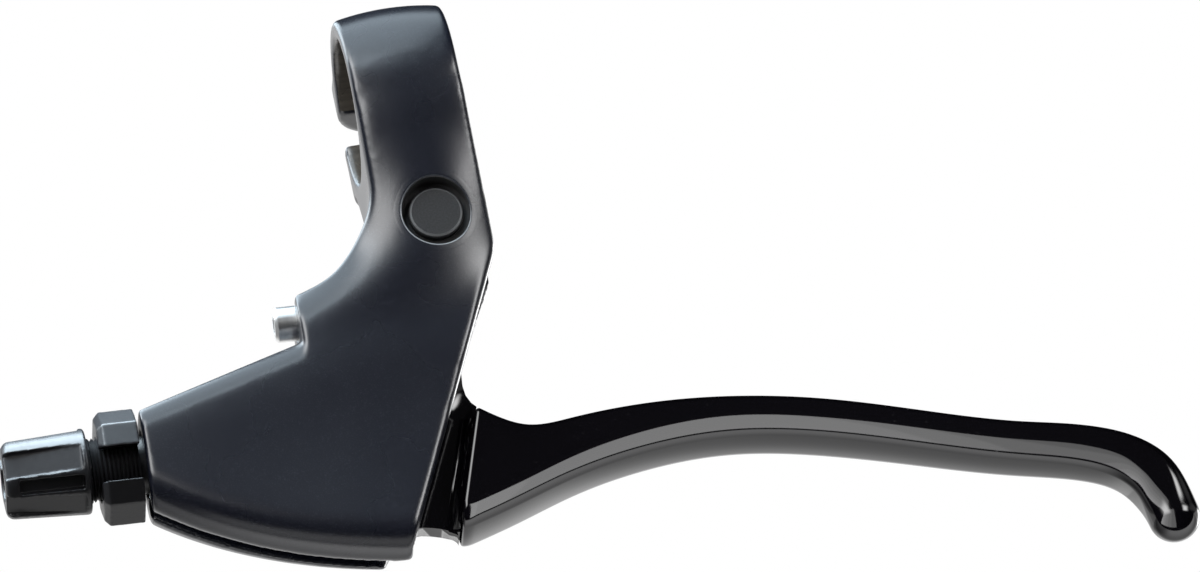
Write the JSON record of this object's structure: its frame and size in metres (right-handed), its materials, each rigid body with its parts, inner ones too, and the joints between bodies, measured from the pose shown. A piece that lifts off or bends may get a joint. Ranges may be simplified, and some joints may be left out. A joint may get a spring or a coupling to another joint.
{
  "type": "bicycle brake lever",
  "caption": "Left-hand city bicycle brake lever with cast clamp bracket, long blade, cable adjuster with lock nut and reach screw",
  "frame": {"origin": "the centre of the handlebar clamp's bore, at the middle of the band's width", "axes": "+X along the handlebar towards the blade's tip, +Z from the blade to the bar, -Y to the front of the bracket that the picture shows"},
  "size_m": [0.1771, 0.0351, 0.1057],
  "materials": {
    "bracket_paint": "satin",
    "lever_paint": "gloss",
    "axle_coat": "satin",
    "bolt_steel": "satin",
    "spring_steel": "satin",
    "hook_steel": "satin",
    "screw_steel": "satin",
    "bush_plastic": "matte",
    "adjuster_plastic": "matte"
  },
  "bodies": {
    "bracket_body": {"bracket": "bracket_paint", "clamp_bolt": "bolt_steel", "clamp_washer": "bolt_steel", "pivot_axle": "axle_coat", "pivot_screw": "bolt_steel", "pivot_washer": "bolt_steel"},
    "lever": {"lever_blade": "lever_paint", "bush_front": "bush_plastic", "bush_back": "bush_plastic", "return_spring": "spring_steel", "hook_pin": "hook_steel"},
    "hook": {"cable_hook": "hook_steel"},
    "adjuster": {"barrel_adjuster": "adjuster_plastic"},
    "lock_nut": {"adjuster_lock_nut": "adjuster_plastic"},
    "reach": {"reach_screw": "screw_steel"}
  },
  "joints": [
    {"name": "lever_pull", "type": "hinge", "parent": "bracket_body", "child": "lever", "pos_m": [0.0008, 0, -0.023], "axis": [0, -1, 0], "range_deg": [0, 30], "stiffness_Nm_per_rad": 0.3, "springref_deg": -20.05, "deforming": ["return_spring"]},
    {"name": "hook_swivel", "type": "hinge", "parent": "lever", "child": "hook", "pos_m": [-0.0086, 0, -0.05431], "axis": [0, -1, 0], "range_deg": [-30, 0]},
    {"name": "adjuster_turn", "type": "hinge", "parent": "bracket_body", "child": "adjuster", "pos_m": [-0.0492, 0, -0.05225], "axis": [-0.9987, 0, 0.0506], "range_deg": [0, 1620]},
    {"name": "lock_nut_turn", "type": "hinge", "parent": "bracket_body", "child": "lock_nut", "pos_m": [-0.0492, 0, -0.05225], "axis": [-0.9987, 0, 0.0506], "range_deg": [0, 1620]},
    {"name": "reach_turn", "type": "hinge", "parent": "bracket_body", "child": "reach", "pos_m": [-0.0257, 0, -0.03304], "axis": [0.9986, 0, -0.0523], "range_deg": [-540, 540]}
  ]
}
